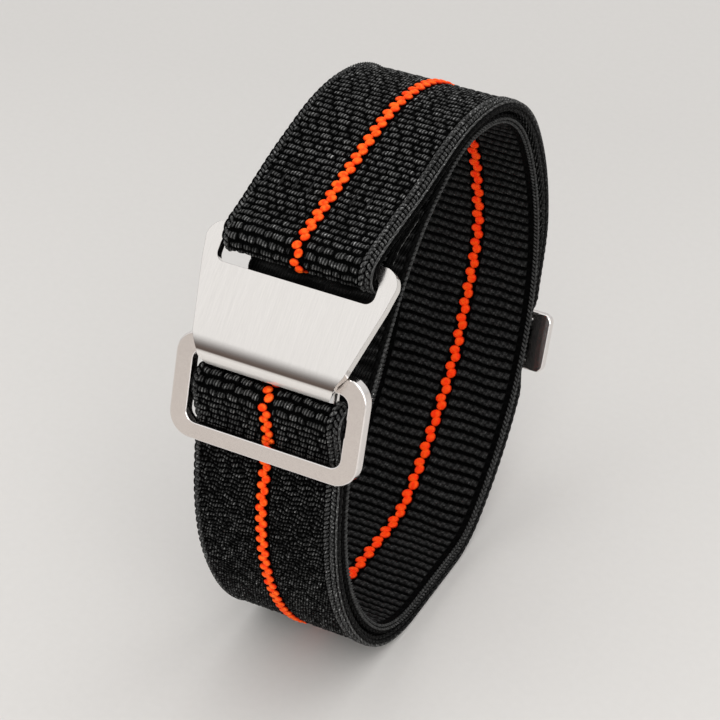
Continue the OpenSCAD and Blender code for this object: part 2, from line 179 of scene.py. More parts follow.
# The strap's turn into the ring's window and over its middle bar
TURN_UP = RING_CLEAR + WINDOW_LO
TURN_R = TURN_UP + HALF_T
rise_d = sqrt(PIN_S ** 2 + TURN_UP ** 2)
RISE_A = degrees(atan2(-TURN_UP, PIN_S) + asin((TURN_R + PIN_WRAP) / rise_d))
RISE_LEN = sqrt(rise_d ** 2 - (TURN_R + PIN_WRAP) ** 2)
BACK_A, BACK_R = 12, 5.0
BACK_LEN = (INSET + HALF_T - PIN_WRAP * cos(radians(BACK_A))
            - BACK_R * (1 - cos(radians(BACK_A)))) / sin(radians(BACK_A))
BACK_S = PIN_S + (PIN_WRAP - BACK_R) * sin(radians(BACK_A)) - BACK_LEN * cos(radians(BACK_A))

# The inner layer, and its tail: off the crown, a straight, a wide turn, a straight and a turn down behind
# the ring
INNER = INSET + HALF_T
INNER_R = CROWN_R - INNER
TAIL_LEN, TIP_LEN = 2.2, 0.8
top_centre = crown + (INNER_R - TAIL_R) * direction(TAIL_START_A)
tail_leaves_top = top_centre + TAIL_R * direction(TAIL_BEND_A)
TAIL_S, TAIL_O = 2.0, INSET + LAYER_T + 0.32 + HALF_T
tail_leaves_turn = front_end + TAIL_S * direction(RING_LEAN) - TAIL_O * direction(FRONT_HIGH_A)
turn_centre = tail_leaves_turn - TAIL_R * direction(FRONT_HIGH_A)
tail_gap = (turn_centre + TAIL_R * direction(TAIL_STEEP_A) - tail_leaves_top
            - TAIL_WIDE_R * (direction(TAIL_STEEP_A) - direction(TAIL_BEND_A)))
tail_ways = np.stack([direction(TAIL_BEND_A + 90), direction(TAIL_STEEP_A + 90)], 1)
upper_len, lower_len = np.linalg.solve(tail_ways, tail_gap)
dip_centre = tail_leaves_top + upper_len * direction(TAIL_BEND_A + 90) - TAIL_WIDE_R * direction(TAIL_BEND_A)
tail_leaves_dip = dip_centre + TAIL_WIDE_R * direction(TAIL_STEEP_A)


def slider_arc(route, y, start, end):
    route.arc(local(back_mid, SLIDE_A, SLIDER_X, y), BAR_WRAP, start + SLIDE_A, end + SLIDE_A)


def slider_cross(route, y, start, heading):
    bar = local(back_mid, SLIDE_A, SLIDER_X, y)
    route.straight(bar + BAR_WRAP * direction(start + SLIDE_A), heading + SLIDE_A, CROSS_LEN)


def lay_route():
    r = Route()
    r.mark("tab")
    flat_end = tab_turn + TAB_R * direction(TOP_A) + TAB_FLAT * direction(TOP_A - 90)
    r.straight(flat_end, TOP_A + 90, TAB_FLAT)
    r.arc(tab_turn, TAB_R, TOP_A, TOP_A + TAB_A)
    r.straight(tab_turn + TAB_R * direction(TOP_A + TAB_A), TOP_A + TAB_A + 90, TAB_LEN)
    r.arc(fold_centre, TAB_WRAP, TOP_A + 180 + TAB_A, TOP_A)
    r.straight(fold_centre + TAB_WRAP * direction(TOP_A), TOP_A - 90, SEWN_LEN)
    r.mark("sewn")
    r.straight(fold_centre + TAB_WRAP * direction(TOP_A) + SEWN_LEN * direction(TOP_A - 90), TOP_A - 90,
               TOP_LEN - SEWN_LEN)
    r.arc(crown, CROWN_R - HALF_T, TOP_A, SHOULDER_A)
    r.mark("shoulder")
    r.arc(crown, CROWN_R - HALF_T, SHOULDER_A, CROWN_A)
    r.arc(back_high, BACK_HIGH_R - HALF_T, CROWN_A, BACK_HIGH_A)
    r.mark("back upper")
    r.arc(back_mid, BACK_MID_R - HALF_T, BACK_HIGH_A, SLIDE_A + SLIDER_HALF_A)
    r.mark("slider")
    slider_arc(r, SLIDER_PITCH, 180 + SLIDER_HALF_A, 180 + CROSS_A)
    slider_cross(r, SLIDER_PITCH, 180 + CROSS_A, CROSS_A - 90)
    slider_arc(r, 0, CROSS_A, -CROSS_A)
    slider_cross(r, 0, -CROSS_A, 270 - CROSS_A)
    slider_arc(r, -SLIDER_PITCH, 180 - CROSS_A, 180 - SLIDER_HALF_A)
    r.mark("back lower")
    r.arc(back_mid, BACK_MID_R - HALF_T, SLIDE_A - SLIDER_HALF_A, BACK_LOW_A)
    r.mark("bottom")
    r.arc(back_low, BACK_LOW_R - HALF_T, BACK_LOW_A, -90)
    r.straight([REST_LEN / 2, HALF_T], 180, REST_LEN)
    r.arc(front_low, FRONT_LOW_R - HALF_T, 270, FRONT_LOW_A)
    r.mark("front")
    r.arc(front_mid, FRONT_MID_R - HALF_T, FRONT_LOW_A, FRONT_MID_A)
    r.arc(front_high, FRONT_HIGH_R - HALF_T, FRONT_MID_A, FRONT_HIGH_A)
    r.mark("ring")
    lean = RING_LEAN
    r.arc(local(front_end, lean, 0, TURN_UP), TURN_R, lean - 90, lean + RISE_A - 90)
    turn_end = local(front_end, lean, 0, TURN_UP) + TURN_R * direction(lean + RISE_A - 90)
    r.straight(turn_end, lean + RISE_A, RISE_LEN)
    pin = local(front_end, lean, PIN_S, 0)
    r.arc(pin, PIN_WRAP, lean + RISE_A + 90, lean + BACK_A - 90)
    r.straight(pin + PIN_WRAP * direction(lean + BACK_A - 90), lean + BACK_A - 180, BACK_LEN)
    r.arc(local(front_end, lean, BACK_S, BACK_R - INNER), BACK_R, lean + BACK_A - 90, lean - 90)
    r.straight(local(front_end, lean, BACK_S, -INNER), lean + 180, BACK_S)
    r.mark("inner front")
    r.arc(front_high, FRONT_HIGH_R - INNER, FRONT_HIGH_A, FRONT_MID_A)
    r.arc(front_mid, FRONT_MID_R - INNER, FRONT_MID_A, FRONT_LOW_A)
    r.mark("inner bottom")
    r.arc(front_low, FRONT_LOW_R - INNER, FRONT_LOW_A, 270)
    r.straight([-REST_LEN / 2, INNER], 0, REST_LEN)
    r.arc(back_low, BACK_LOW_R - INNER, -90, BACK_LOW_A)
    r.mark("inner back")
    r.arc(back_mid, BACK_MID_R - INNER, BACK_LOW_A, BACK_HIGH_A)
    r.mark("inner top")
    r.arc(back_high, BACK_HIGH_R - INNER, BACK_HIGH_A, CROWN_A)
    r.arc(crown, INNER_R, CROWN_A, TAIL_START_A)
    r.arc(top_centre, TAIL_R, TAIL_START_A, TAIL_BEND_A)
    r.mark("inner tail")
    r.straight(tail_leaves_top, TAIL_BEND_A + 90, upper_len)
    r.arc(dip_centre, TAIL_WIDE_R, TAIL_BEND_A, TAIL_STEEP_A)
    r.straight(tail_leaves_dip, TAIL_STEEP_A + 90, lower_len)
    r.arc(turn_centre, TAIL_R, TAIL_STEEP_A, FRONT_HIGH_A)
    r.straight(tail_leaves_turn, FRONT_HIGH_A + 90, TAIL_LEN)
    r.mark("tip")
    r.straight(tail_leaves_turn + TAIL_LEN * direction(FRONT_HIGH_A + 90), FRONT_HIGH_A + 90, TIP_LEN)
    r.mark("end")
    return r


route = lay_route()


# ---------------------------------------------------------------- the webbing's relief
RIB_PITCH, RIB_END = 1.40, 8.85
HOLE_PITCH = 1.1
STRAND_PITCH, BUMP_PITCH = 0.62, 1.2
STRIPE_SINK, STRIPE_HALF_W = 0.30, 1.14
BEAD_SINK, BEAD_RISE = 0.17, 0.74
FULL_DEPTH = 0.45
UV_SIZE = 10
ON_FACE, ON_BACK = -1, 10
# A float's share of its row and of its length
FLOAT_WIDE, FLOAT_LONG = 0.84, 0.99
# Row pitch, float length, restlessness and depth of the two weaves on the outer layer
FLOATS = (0.95, 1.32, 0.35, 0.46)
SEEDS = (0.60, 0.64, 1.0, 0.40)
# For the left and right edge: where the face ends, the bounds of the selvage's lanes from there round the edge,
# and their kinds: slanted strands, a smooth cord, a flat channel or low bumps
OUTER_LANES = {-1: (9.0, (0, 0.75, 1.4, 2.0, 2.7), "sbbb"),
               1: (7.95, (0, 0.82, 1.62, 2.0, 2.8, 3.7), "sscbb")}
INNER_LANES = {-1: (RIB_END, (0, 0.5, 1.1, 1.7, 2.8), "fssb"),
               1: (RIB_END, (0, 0.75, 1.30, 1.85, 2.8), "fssb")}


def chance(*keys):
    """A repeatable number from 0 to 1 for each cell of the weave."""
    total = sum(k * w for k, w in zip(keys, (12.9898, 78.233, 37.719)))
    return np.modf(np.abs(np.sin(total) * 43758.5453))[0]


def smooth(low, high, v):
    t = np.clip((v - low) / (high - low), 0, 1)
    return t * t * (3 - 2 * t)


def eased(s, places):
    """A value that eases from one given place along the route to the next."""
    keys = sorted(places)
    out = np.full(np.shape(s), float(places[keys[0]]))
    for low, high in zip(keys, keys[1:]):
        out = out + (places[high] - places[low]) * smooth(low, high, s)
    return out


def spread(s):
    """How far the strap is drawn out to each side, or squeezed by a fitting."""
    m = route.marks
    return eased(s, {m["sewn"] - 9: 0, m["sewn"] + 3: 0.42, m["back upper"] + 16: 0.42, m["slider"] - 3: -0.1,
                     m["slider"]: -0.6, m["back lower"]: -0.6, m["back lower"] + 4: 0, m["ring"] - 2: 0,
                     m["ring"] + 2: 0.15, m["inner front"] - 5: 0.1, m["inner front"]: 0})


def strap_shift(s):
    """The outer layer's sideways wander over the top of the back and up the front."""
    m = route.marks
    return eased(s, {m["sewn"] - 4: 0, m["shoulder"]: 0.08, m["back upper"] + 4: 0.28, m["slider"] - 4: 0,
                     m["front"]: 0, m["front"] + 12: 0.12, m["ring"] - 6: 0.12, m["ring"]: 0})


def stripe_shift(s):
    """The stripe's wander off the strap's middle: low on the front, and up the inside of the back."""
    m = route.marks
    return eased(s, {m["front"] - 14: 0, m["front"] - 2: -0.5, m["ring"] - 12: -0.45, m["ring"] - 1: -0.1,
                     m["ring"]: 0, m["inner back"] + 8: 0, m["inner back"] + 25: 0.45, m["inner top"] - 16: 1.50,
                     m["inner top"] + 2: 1.95, m["inner tail"]: 1.2, m["tip"] - 8: 0})


def wall_painted_shade(s):
    """Lightness of the low bumps on the edge's wall, as painted shade: dark over the top, where it faces the
    layer below.
    """
    m = route.marks
    return eased(s, {m["shoulder"] - 8: 0.06, m["back upper"]: 0.30, m["bottom"]: 0.30, m["front"]: 0.2,
                     m["inner front"] - 2: 0.2, m["inner front"]: 0.06})


def float_relief(x, s, weave):
    """Rows of short pillowed floats, as on the outer layer. 0 is the highest top of a float.

    It also gives each float's lightness: its own tone, which differs at random, times a painted sheen across its
    row.
    """
    pitch, length, wander, deepest = weave
    s = s + wander * 0.14 * np.sin(x * 2.7 + 2.1 * np.sin(s * 0.9)) + 0.05 * np.sin(x * 0.8 + s * 0.23)
    row = np.floor(s / pitch)
    t = s / pitch - row
    shift = 0.5 * np.mod(row, 2) + 0.42 * chance(row, 3.0)
    cell_x = x / length + shift + 60
    cell_x = cell_x + 0.17 * np.sin(cell_x * 2.3 + row * 1.7)
    cell = np.floor(cell_x)
    f = cell_x - cell
    border = np.where(f < 0.5, cell, cell + 1)
    deep = np.where(chance(row, border, 5.0) > 0.15, 1.0, 0.4)
    lean = 0.12 * (f - 0.5) * np.where(chance(row, 6.0) > 0.5, 1.0, -1.0)
    across_row = np.sqrt(np.clip(1 - np.abs((2 * (t + lean) - 1) / FLOAT_WIDE) ** 2.4, 0, 1))
    along_row = 1 - deep * (1 - np.sqrt(np.clip(1 - np.abs((2 * f - 1) / FLOAT_LONG) ** 4.0, 0, 1)))
    top = across_row * along_row
    lift = -deepest * (1 - top) - (0.07 + 0.10 * wander) * (1 - chance(row, cell, 1.0)) * top
    # Painted sheen: a lighter band across each row of floats.
    painted_sheen = 0.62 + 0.38 * np.exp(-((t - 0.36) / 0.17) ** 2)
    return lift, painted_sheen * (1 - (0.30 + 0.40 * wander) * chance(row, cell, 2.0))


def rib_relief(x, s):
    """Ribs of slanted strands, parted by grooves with a row of small holes, as on the inner layer.

    It also gives each strand's lightness: painted shade between the strands, times its own tone, which differs at
    random.
    """
    s = s + 0.07 * np.sin(x * 0.9 + s * 0.31) + 0.03 * np.sin(x * 3.1 + s * 0.7)
    row = np.round(s / RIB_PITCH)
    signed = s - row * RIB_PITCH
    d = np.abs(signed)
    hole = x / HOLE_PITCH + 0.5 * np.mod(row, 2) + 0.15 * chance(row, 4.0)
    h = (hole - np.round(hole)) * HOLE_PITCH
    strand = hole + 0.30 * np.where(signed > 0, signed - RIB_PITCH / 2, signed + RIB_PITCH / 2)
    bump = 0.5 + 0.5 * np.cos(2 * pi * strand)
    round_top = 0.12 * np.clip(1 - d / (RIB_PITCH / 2), 0, 1) ** 1.4
    lift = -round_top - 0.24 * np.exp(-(d / 0.19) ** 2) - 0.18 * np.exp(-(d / 0.30) ** 2 - (h / 0.26) ** 2) \
        - 0.05 * (1 - bump)
    # Painted shade between the strands, times each strand's own tone.
    return lift, (0.25 + 0.75 * bump ** 2) * (0.6 + 0.4 * chance(row, np.round(strand)))


def selvage_relief(x, q, s, lanes):
    """Lanes along both edges, and their lightness; q runs from the face, round the edge, to the back."""
    out = np.zeros(np.broadcast_shapes(q.shape, s.shape))
    light = out + 1
    for side, (_, bounds, kinds) in lanes.items():
        for i, kind in enumerate(kinds):
            low, high = bounds[i], bounds[i + 1]
            u = np.clip((q - low) / (high - low), 0, 1)
            round_lane = np.sin(pi * u) ** 0.6
            if kind == "s":
                t = s / STRAND_PITCH + (0.8 if i % 2 else -0.8) * (u - 0.5) + 0.31 * i
                strand = np.sqrt(np.clip(1 - np.abs((2 * (t - np.floor(t)) - 1) / 0.80) ** 2.4, 0, 1))
                lift, tone = 0.12 - 0.46 * (1 - round_lane * strand), 0.55 + 0.45 * chance(np.floor(t), float(i))
            elif kind == "c":
                lift, tone = 0.14 - 0.44 * (1 - round_lane), 0.85
            elif kind == "f":
                lift, tone = -0.26 + 0.04 * np.cos(2 * pi * s / RIB_PITCH), 0.7
            else:
                t = s / BUMP_PITCH + 0.5 * (u - 0.5) + 0.37 * i
                bump = np.sqrt(np.clip(1 - np.abs(2 * (t - np.floor(t)) - 1) ** 2.4, 0, 1))
                # The low bumps' lightness is painted shade along the route.
                lift, tone = 0.06 - 0.36 * (1 - round_lane * (0.3 + 0.7 * bump)), wall_painted_shade(s)
            inside = (np.sign(x) == side) & (q >= low) & ((q < high) | (i == len(kinds) - 1))
            out = np.where(inside, lift, out)
            light = np.where(inside, tone, light)
    return out, light


def cross_section(lanes, face_step, edge_step, back_step):
    """The webbing's outline, one row of six values for each column of the grid.

    They are x and y, the outward normal's x and y, the distance round the edge from where the face ends, and
    1 on the face's side, 0 on the edge's wall or -1 on the back.
    """
    flat = BAND_W / 2 - HALF_T
    left_edge, right_edge = lanes[-1][0], lanes[1][0]
    rows = []

    def walk(start, end, step, maker):
        n = max(2, int(round(abs(end - start) / step)))
        for v in np.linspace(start, end, n, endpoint=False):
            rows.append(maker(v))

    walk(0, -flat, back_step, lambda x: (x, -HALF_T, 0, -1, ON_BACK, -1))
    walk(pi, 0, edge_step / HALF_T, lambda a: (-flat - HALF_T * sin(a), HALF_T * cos(a), -sin(a), cos(a),
                                               flat - left_edge + HALF_T * a, 0))
    walk(-flat, -left_edge, edge_step, lambda x: (x, HALF_T, 0, 1, -x - left_edge, 1))
    walk(-left_edge, right_edge, face_step, lambda x: (x, HALF_T, 0, 1, ON_FACE, 1))
    walk(right_edge, flat, edge_step, lambda x: (x, HALF_T, 0, 1, x - right_edge, 1))
    walk(0, pi, edge_step / HALF_T, lambda a: (flat + HALF_T * sin(a), HALF_T * cos(a), sin(a), cos(a),
                                               flat - right_edge + HALF_T * a, 0))
    walk(flat, 0, back_step, lambda x: (x, -HALF_T, 0, -1, ON_BACK, -1))
    rows.append(rows[0])
    return np.array(rows)


def relief(section, lanes, s, weave, fold):
    """How far each point is raised along the outline's normal, where it is selvage, and its lightness.

    Without a weave of floats the face has the inner layer's ribs. A fold has the face's relief on its back.
    """
    x, _, _, _, q, side = (c[None, :] for c in section.T)
    s = s[:, None]
    middle = x - stripe_shift(s)
    if weave:
        face, light = float_relief(x, s, weave)
    else:
        ribbed = smooth(RIB_END, RIB_END - 0.3, np.abs(x))
        face, light = rib_relief(x, s)
        face = face * ribbed - 0.26 * (1 - ribbed)
    channel = STRIPE_SINK * smooth(STRIPE_HALF_W, STRIPE_HALF_W - 0.24, np.abs(middle))
    face = np.minimum(face, -channel + 0.12 * face)
    stitch, stitch_light = selvage_relief(x, q, s, lanes)
    top = np.where(q >= 0, stitch, face)
    light = np.where((side > -0.5) & (q >= 0), stitch_light, light)
    back = face if fold else -0.12 - 0.06 * np.cos(2 * pi * s / RIB_PITCH) + 0 * x
    out = np.where(side > 0.5, top, np.where(side > -0.5, stitch, back))
    edge = np.where((side > -0.5) & (q >= 0), 1.0, 0.0) + 0 * s
    return out, edge, light


# ---------------------------------------------------------------- mesh helpers
def fresh(name):
    """Names what the last operator added and returns it."""
    obj = bpy.context.object
    obj.name = name
    obj.data.name = name
    return obj


def nothing_selected():
    if bpy.context.object and bpy.context.object.mode != "OBJECT":
        bpy.ops.object.mode_set(mode="OBJECT")
    bpy.ops.object.select_all(action="DESELECT")


def only(obj):
    nothing_selected()
    obj.select_set(True)
    bpy.context.view_layer.objects.active = obj


def coordinates(obj):
    co = np.empty(len(obj.data.vertices) * 3)
    obj.data.vertices.foreach_get("co", co)
    return co.reshape(-1, 3)


def set_coordinates(obj, co):
    obj.data.vertices.foreach_set("co", np.ascontiguousarray(co, float).ravel())
    obj.data.update()


def set_attribute(obj, label, value):
    layer = obj.data.attributes.new(label, "FLOAT", "POINT")
    layer.data.foreach_set("value", np.ascontiguousarray(value, float).ravel())


def apply(obj, kind, **values):
    only(obj)
    modifier = obj.modifiers.new(kind.lower(), kind)
    for key, value in values.items():
        setattr(modifier, key, value)
    bpy.ops.object.modifier_apply(modifier=modifier.name)


def in_loop(origin, turn):
    """Matrix from a fitting's own frame (x across, y along, z outward, in mm) to the scene."""
    a, b = direction(turn), direction(turn + 90)
    return Matrix(((MM, 0, 0, 0),
                   (0, MM * a[0], MM * b[0], MM * origin[0]),
                   (0, MM * a[1], MM * b[1], MM * origin[1]),
                   (0, 0, 0, 1)))


def join(name, pieces):
    nothing_selected()
    for piece in pieces:
        piece.select_set(True)
    bpy.context.view_layer.objects.active = pieces[0]
    bpy.ops.object.join()
    return fresh(name)


# ---------------------------------------------------------------- webbing and stripe
def laid_grid(name, s, x, y):
    """A grid whose rows lie across the route at distances s, with each point's place across and outward."""
    rows, cols = y.shape
    nothing_selected()
    bpy.ops.mesh.primitive_grid_add(x_subdivisions=cols - 1, y_subdivisions=rows - 1, size=2)
    obj = fresh(name)
    place, heading = route.at(s)
    out = np.stack([-np.sin(heading), np.cos(heading)], 1)
    co = np.empty((rows, cols, 3))
    co[:, :, 0] = x
    co[:, :, 1] = place[:, None, 0] + out[:, None, 0] * y
    co[:, :, 2] = place[:, None, 1] + out[:, None, 1] * y
    set_coordinates(obj, co.reshape(-1, 3) * MM)
    return obj


def close_skin(obj, material):
    """Welds the grid into a tube, closes its ends and turns its faces outward."""
    only(obj)
    bpy.ops.object.mode_set(mode="EDIT")
    bpy.ops.mesh.select_all(action="SELECT")
    bpy.ops.mesh.remove_doubles(threshold=1e-6)
    bpy.ops.mesh.fill_holes(sides=0)
    bpy.ops.mesh.select_all(action="SELECT")
    bpy.ops.mesh.normals_make_consistent(inside=False)
    bpy.ops.object.mode_set(mode="OBJECT")
    bpy.ops.object.shade_smooth()
    obj.data.materials.append(material)


def webbing(name, begin, end, step, section, lanes, weave, fold, material):
    """One stretch of webbing between two distances along the route, closed at both ends."""
    rows = max(6, int(round((end - begin) / step))) + 1
    s = np.linspace(begin, end, rows)
    lift, edge, light = relief(section, lanes, s, weave, fold)
    x = section[None, :, 0] * (1 + spread(s[:, None]) / (BAND_W / 2)) + strap_shift(s[:, None])
    x = x + section[None, :, 2] * lift
    y = section[None, :, 1] + section[None, :, 3] * lift
    obj = laid_grid(name, s, x, y)

    around = np.concatenate([[0], np.cumsum(np.hypot(np.diff(section[:, 0]), np.diff(section[:, 1])))])
    uv = np.empty((rows, len(section), 2))
    uv[:, :, 0] = around[None, :] / UV_SIZE
    uv[:, :, 1] = s[:, None] / UV_SIZE
    corner = np.empty(len(obj.data.loops), dtype=np.int64)
    obj.data.loops.foreach_get("vertex_index", corner)
    obj.data.uv_layers[0].name = "along_yarn"
    obj.data.uv_layers[0].data.foreach_set("uv", uv.reshape(-1, 2)[corner].ravel())
    set_attribute(obj, "relief_depth", np.clip(-lift / FULL_DEPTH, 0, 1))
    set_attribute(obj, "selvage", edge)
    # The yarn's lightness: its own tone, with painted sheen and painted shade.
    set_attribute(obj, "yarn_tone_and_painted_light", light)
    close_skin(obj, material)
    return obj


def bead_shape():
    """One bead of the stripe: a rounded grain, flat beneath, 1 mm long before it is sized."""
    nothing_selected()
    bpy.ops.mesh.primitive_uv_sphere_add(segments=12, ring_count=7, radius=0.5)
    bead = fresh("stripe_bead")
    co = coordinates(bead)
    co[:, 2] = np.where(co[:, 2] < 0, co[:, 2] * 0.45, co[:, 2])
    co[:, 0] += 0.22 * co[:, 1]
    set_coordinates(bead, co)
    set_attribute(bead, "bead_rise", np.clip(co[:, 2] / 0.5, 0, 1))
    bpy.ops.object.shade_smooth()
    return bead


def stripe(name, begin, end, pitch, width, length, sway, shape, material):
    """Beads that alternate from side to side along the webbing's face."""
    copies = []
    for i in range(int(np.ceil(begin / pitch)), int(np.floor((end - 1e-6) / pitch)) + 1):
        side = 1 if i % 2 else -1
        s = min(max((i + 0.09 * side) * pitch, begin), end)
        place, heading = route.at([s])
        nothing_selected()
        copy = shape.copy()
        copy.data = shape.data.copy()
        bpy.context.collection.objects.link(copy)
        turn = degrees(float(heading[0]))
        origin = place[0] + (HALF_T - BEAD_SINK) * direction(turn + 90)
        wobble = float(chance(float(i), 8.0)) - 0.5
        middle = float(stripe_shift(s) + strap_shift(s))
        size = Matrix.Diagonal((width * (1 + 0.08 * wobble), length, BEAD_RISE, 1))
        tilt = Matrix.Rotation(radians(14 * side), 4, "Z")
        shift = Matrix.Translation((middle + side * sway + 0.06 * wobble, 0, 0))
        copy.data.transform(in_loop(origin, turn) @ shift @ tilt @ size)
        copies.append(copy)
    obj = join(name, copies)
    obj.data.materials.clear()
    obj.data.materials.append(material)
    return obj


# ---------------------------------------------------------------- materials
def node_group(name, inputs, outputs):
    group = bpy.data.node_groups.new(name, "ShaderNodeTree")
    for label, kind, value in inputs:
        socket = group.interface.new_socket(label, in_out="INPUT", socket_type=kind)
        if value is not None:
            socket.default_value = value
    for label in outputs:
        group.interface.new_socket(label, in_out="OUTPUT", socket_type="NodeSocketFloat")
    return group, group.nodes.new("NodeGroupInput"), group.nodes.new("NodeGroupOutput")


def node(tree, kind, links=(), settings=(), **values):
    """Adds a node, sets its properties and sockets, and links what feeds it."""
    made = tree.nodes.new(kind)
    for key, value in values.items():
        setattr(made, key, value)
    for socket, value in settings:
        made.inputs[socket].default_value = value
    for socket, source in links:
        tree.links.new(source, made.inputs[socket])
    return made


def noise(tree, vector, scale, detail=2.0, roughness=0.5):
    settings = (("Scale", scale), ("Detail", detail), ("Roughness", roughness))
    return node(tree, "ShaderNodeTexNoise", [("Vector", vector)], settings).outputs[0]


def graded(tree, source, low=0.0, high=1.0, at_low=0.0, at_high=1.0):
    """Turns the source's range from low to high into the range from at_low to at_high."""
    settings = ((1, low), (2, high), (3, at_low), (4, at_high))
    return node(tree, "ShaderNodeMapRange", [(0, source)], settings).outputs[0]


def times(tree, a, b):
    return node(tree, "ShaderNodeMath", [(0, a), (1, b)], operation="MULTIPLY").outputs[0]


def tinted(tree, share, low, high):
    """Mixes two colours by a share; each is red, green and blue, or what another node gives."""
    made = node(tree, "ShaderNodeMix", [(0, share)], data_type="RGBA")
    for socket, colour in ((6, low), (7, high)):
        if isinstance(colour, tuple):
            made.inputs[socket].default_value = (*colour, 1)
        else:
            tree.links.new(colour, made.inputs[socket])
    return made.outputs[2]


def attribute(tree, label):
    return node(tree, "ShaderNodeAttribute", attribute_name=label).outputs["Fac"]


def in_object(tree):
    return node(tree, "ShaderNodeTexCoord").outputs["Object"]


def yarn_group():
    """Fine filaments and tone changes of the dark yarn, in the webbing's own UV map."""
    group, given, out = node_group("yarn_filaments",
                                   [("Vector", "NodeSocketVector", None), ("Filament", "NodeSocketFloat", 1.0)],
                                   ("Height", "Tone", "GlossAndPaintedGlint"))
    slant = node(group, "ShaderNodeMapping", [(0, given.outputs[0])], [("Rotation", (0, 0, radians(14)))])
    twist = node(group, "ShaderNodeTexWave", [("Vector", slant.outputs[0])],
                 [("Scale", 8.6), ("Distortion", 1.2), ("Detail", 1), ("Detail Scale", 2.0)], wave_type="BANDS")
    long = node(group, "ShaderNodeMapping", [(0, given.outputs[0])], [("Scale", (20, 62, 1))])
    streak = noise(group, long.outputs[0], 1.0, 3, 0.65)
    filament = node(group, "ShaderNodeMath", [(0, twist.outputs["Fac"]), (1, streak)], operation="ADD")
    sharp = graded(group, filament.outputs[0], 0.62, 1.42, 0.05, 1.0)
    patch = graded(group, noise(group, given.outputs[0], 11), 0.3, 0.7, 0.55, 1.0)
    # Spots of gloss, which the webbing also paints into its colour as painted glints.
    spark = graded(group, noise(group, given.outputs[0], 34, 1), 0.56, 0.70)
    group.links.new(times(group, sharp, given.outputs[1]), out.inputs["Height"])
    group.links.new(times(group, patch, sharp), out.inputs["Tone"])
    group.links.new(spark, out.inputs["GlossAndPaintedGlint"])
    return group


def brushed_group():
    """Brush lines along one direction, with fine scratches and slow changes of tone."""
    group, given, out = node_group("brushed_lines",
                                   [("Vector", "NodeSocketVector", None), ("Stretch", "NodeSocketFloat", 1.0)],
                                   ("Height", "Tone"))
    fine = noise(group, given.outputs[0], 1.0, 4, 0.7)
    wide = noise(group, given.outputs[0], 0.13)
    tone = node(group, "ShaderNodeMix", [(2, fine), (3, wide)], [(0, 0.2)], data_type="FLOAT")
    group.links.new(times(group, fine, given.outputs[1]), out.inputs["Height"])
    group.links.new(tone.outputs[0], out.inputs["Tone"])
    return group


yarn_filaments = yarn_group()
brushed_lines = brushed_group()


def new_material(name):
    made = bpy.data.materials.new(name)
    made.use_nodes = True
    return made, made.node_tree, made.node_tree.nodes["Principled BSDF"]


def finish(tree, shader, colour, roughness, specular=None):
    """Feeds the colour and the roughness, which is a number or what another node gives."""
    tree.links.new(colour, shader.inputs["Base Color"])
    if isinstance(roughness, float):
        shader.inputs["Roughness"].default_value = roughness
    else:
        tree.links.new(roughness, shader.inputs["Roughness"])
    if specular is not None:
        shader.inputs["Specular IOR Level"].default_value = specular


def roughen(tree, shader, height, strength, distance):
    bump = node(tree, "ShaderNodeBump", [("Height", height)], [("Strength", strength), ("Distance", distance)])
    tree.links.new(bump.outputs[0], shader.inputs["Normal"])


def placed_group(tree, group, vector):
    used = tree.nodes.new("ShaderNodeGroup")
    used.node_tree = group
    tree.links.new(vector, used.inputs[0])
    used.inputs[1].default_value = 1.0
    return used


def webbing_material(name, yarn_low, yarn_high, edge_high, painted_glint_colour, filaments, relief_height):
    """Dark yarn, black in the relief's gaps by painted shade; light filaments on the floats' tops, partly painted
    sheen.

    Filaments is how strongly they show on the face; on the selvage they show half as much.
    """
    made, tree, shader = new_material(name)
    uv = node(tree, "ShaderNodeUVMap", uv_map="along_yarn")
    yarn = placed_group(tree, yarn_filaments, uv.outputs[0])
    edge, light = attribute(tree, "selvage"), attribute(tree, "yarn_tone_and_painted_light")
    showing = graded(tree, edge, at_low=filaments, at_high=0.5 * filaments)
    lines = node(tree, "ShaderNodeMix", [(0, showing), (3, yarn.outputs["Tone"])], [(2, 0.55)], data_type="FLOAT")
    tone = times(tree, lines.outputs[0], light)
    # Painted shade: the colour turns black in the gaps of the relief, where relief_depth is large.
    raised = graded(tree, attribute(tree, "relief_depth"), 0.08, 0.50, 1.0, 0.0)
    height = times(tree, raised, graded(tree, light, 0.0, 0.4))
    # The filaments' light colour is partly the yarn's own tone and partly painted sheen.
    filament = tinted(tree, tone, yarn_low, tinted(tree, edge, yarn_high, edge_high))
    # Painted glints: the colour turns toward the glint colour on the gloss spots.
    with_painted_glints = tinted(tree, times(tree, yarn.outputs["GlossAndPaintedGlint"], tone), filament, painted_glint_colour)
    colour = tinted(tree, height, PAINTED_GAP_SHADE, with_painted_glints)
    finish(tree, shader, colour, graded(tree, yarn.outputs["GlossAndPaintedGlint"], at_low=0.6, at_high=0.4), 0.03)
    roughen(tree, shader, yarn.outputs["Height"], 0.9, relief_height)
    return made


def stripe_material(name, dark, light):
    """Orange yarn, with painted shade that makes it darker and redder at each bead's foot."""
    made, tree, shader = new_material(name)
    place = in_object(tree)
    fine = noise(tree, place, 5200, 3)
    colour = tinted(tree, graded(tree, noise(tree, place, 1600), 0.35, 0.65), dark, light)
    # Painted shade: darker and redder toward each bead's foot, where bead_rise is low.
    rise = graded(tree, attribute(tree, "bead_rise"), 0.05, 0.6)
    finish(tree, shader, tinted(tree, rise, BEAD_FOOT_SHADE, colour), graded(tree, fine, 0.3, 0.7, 0.62, 0.45), 0.08)
    roughen(tree, shader, fine, 0.5, 0.0001)
    return made


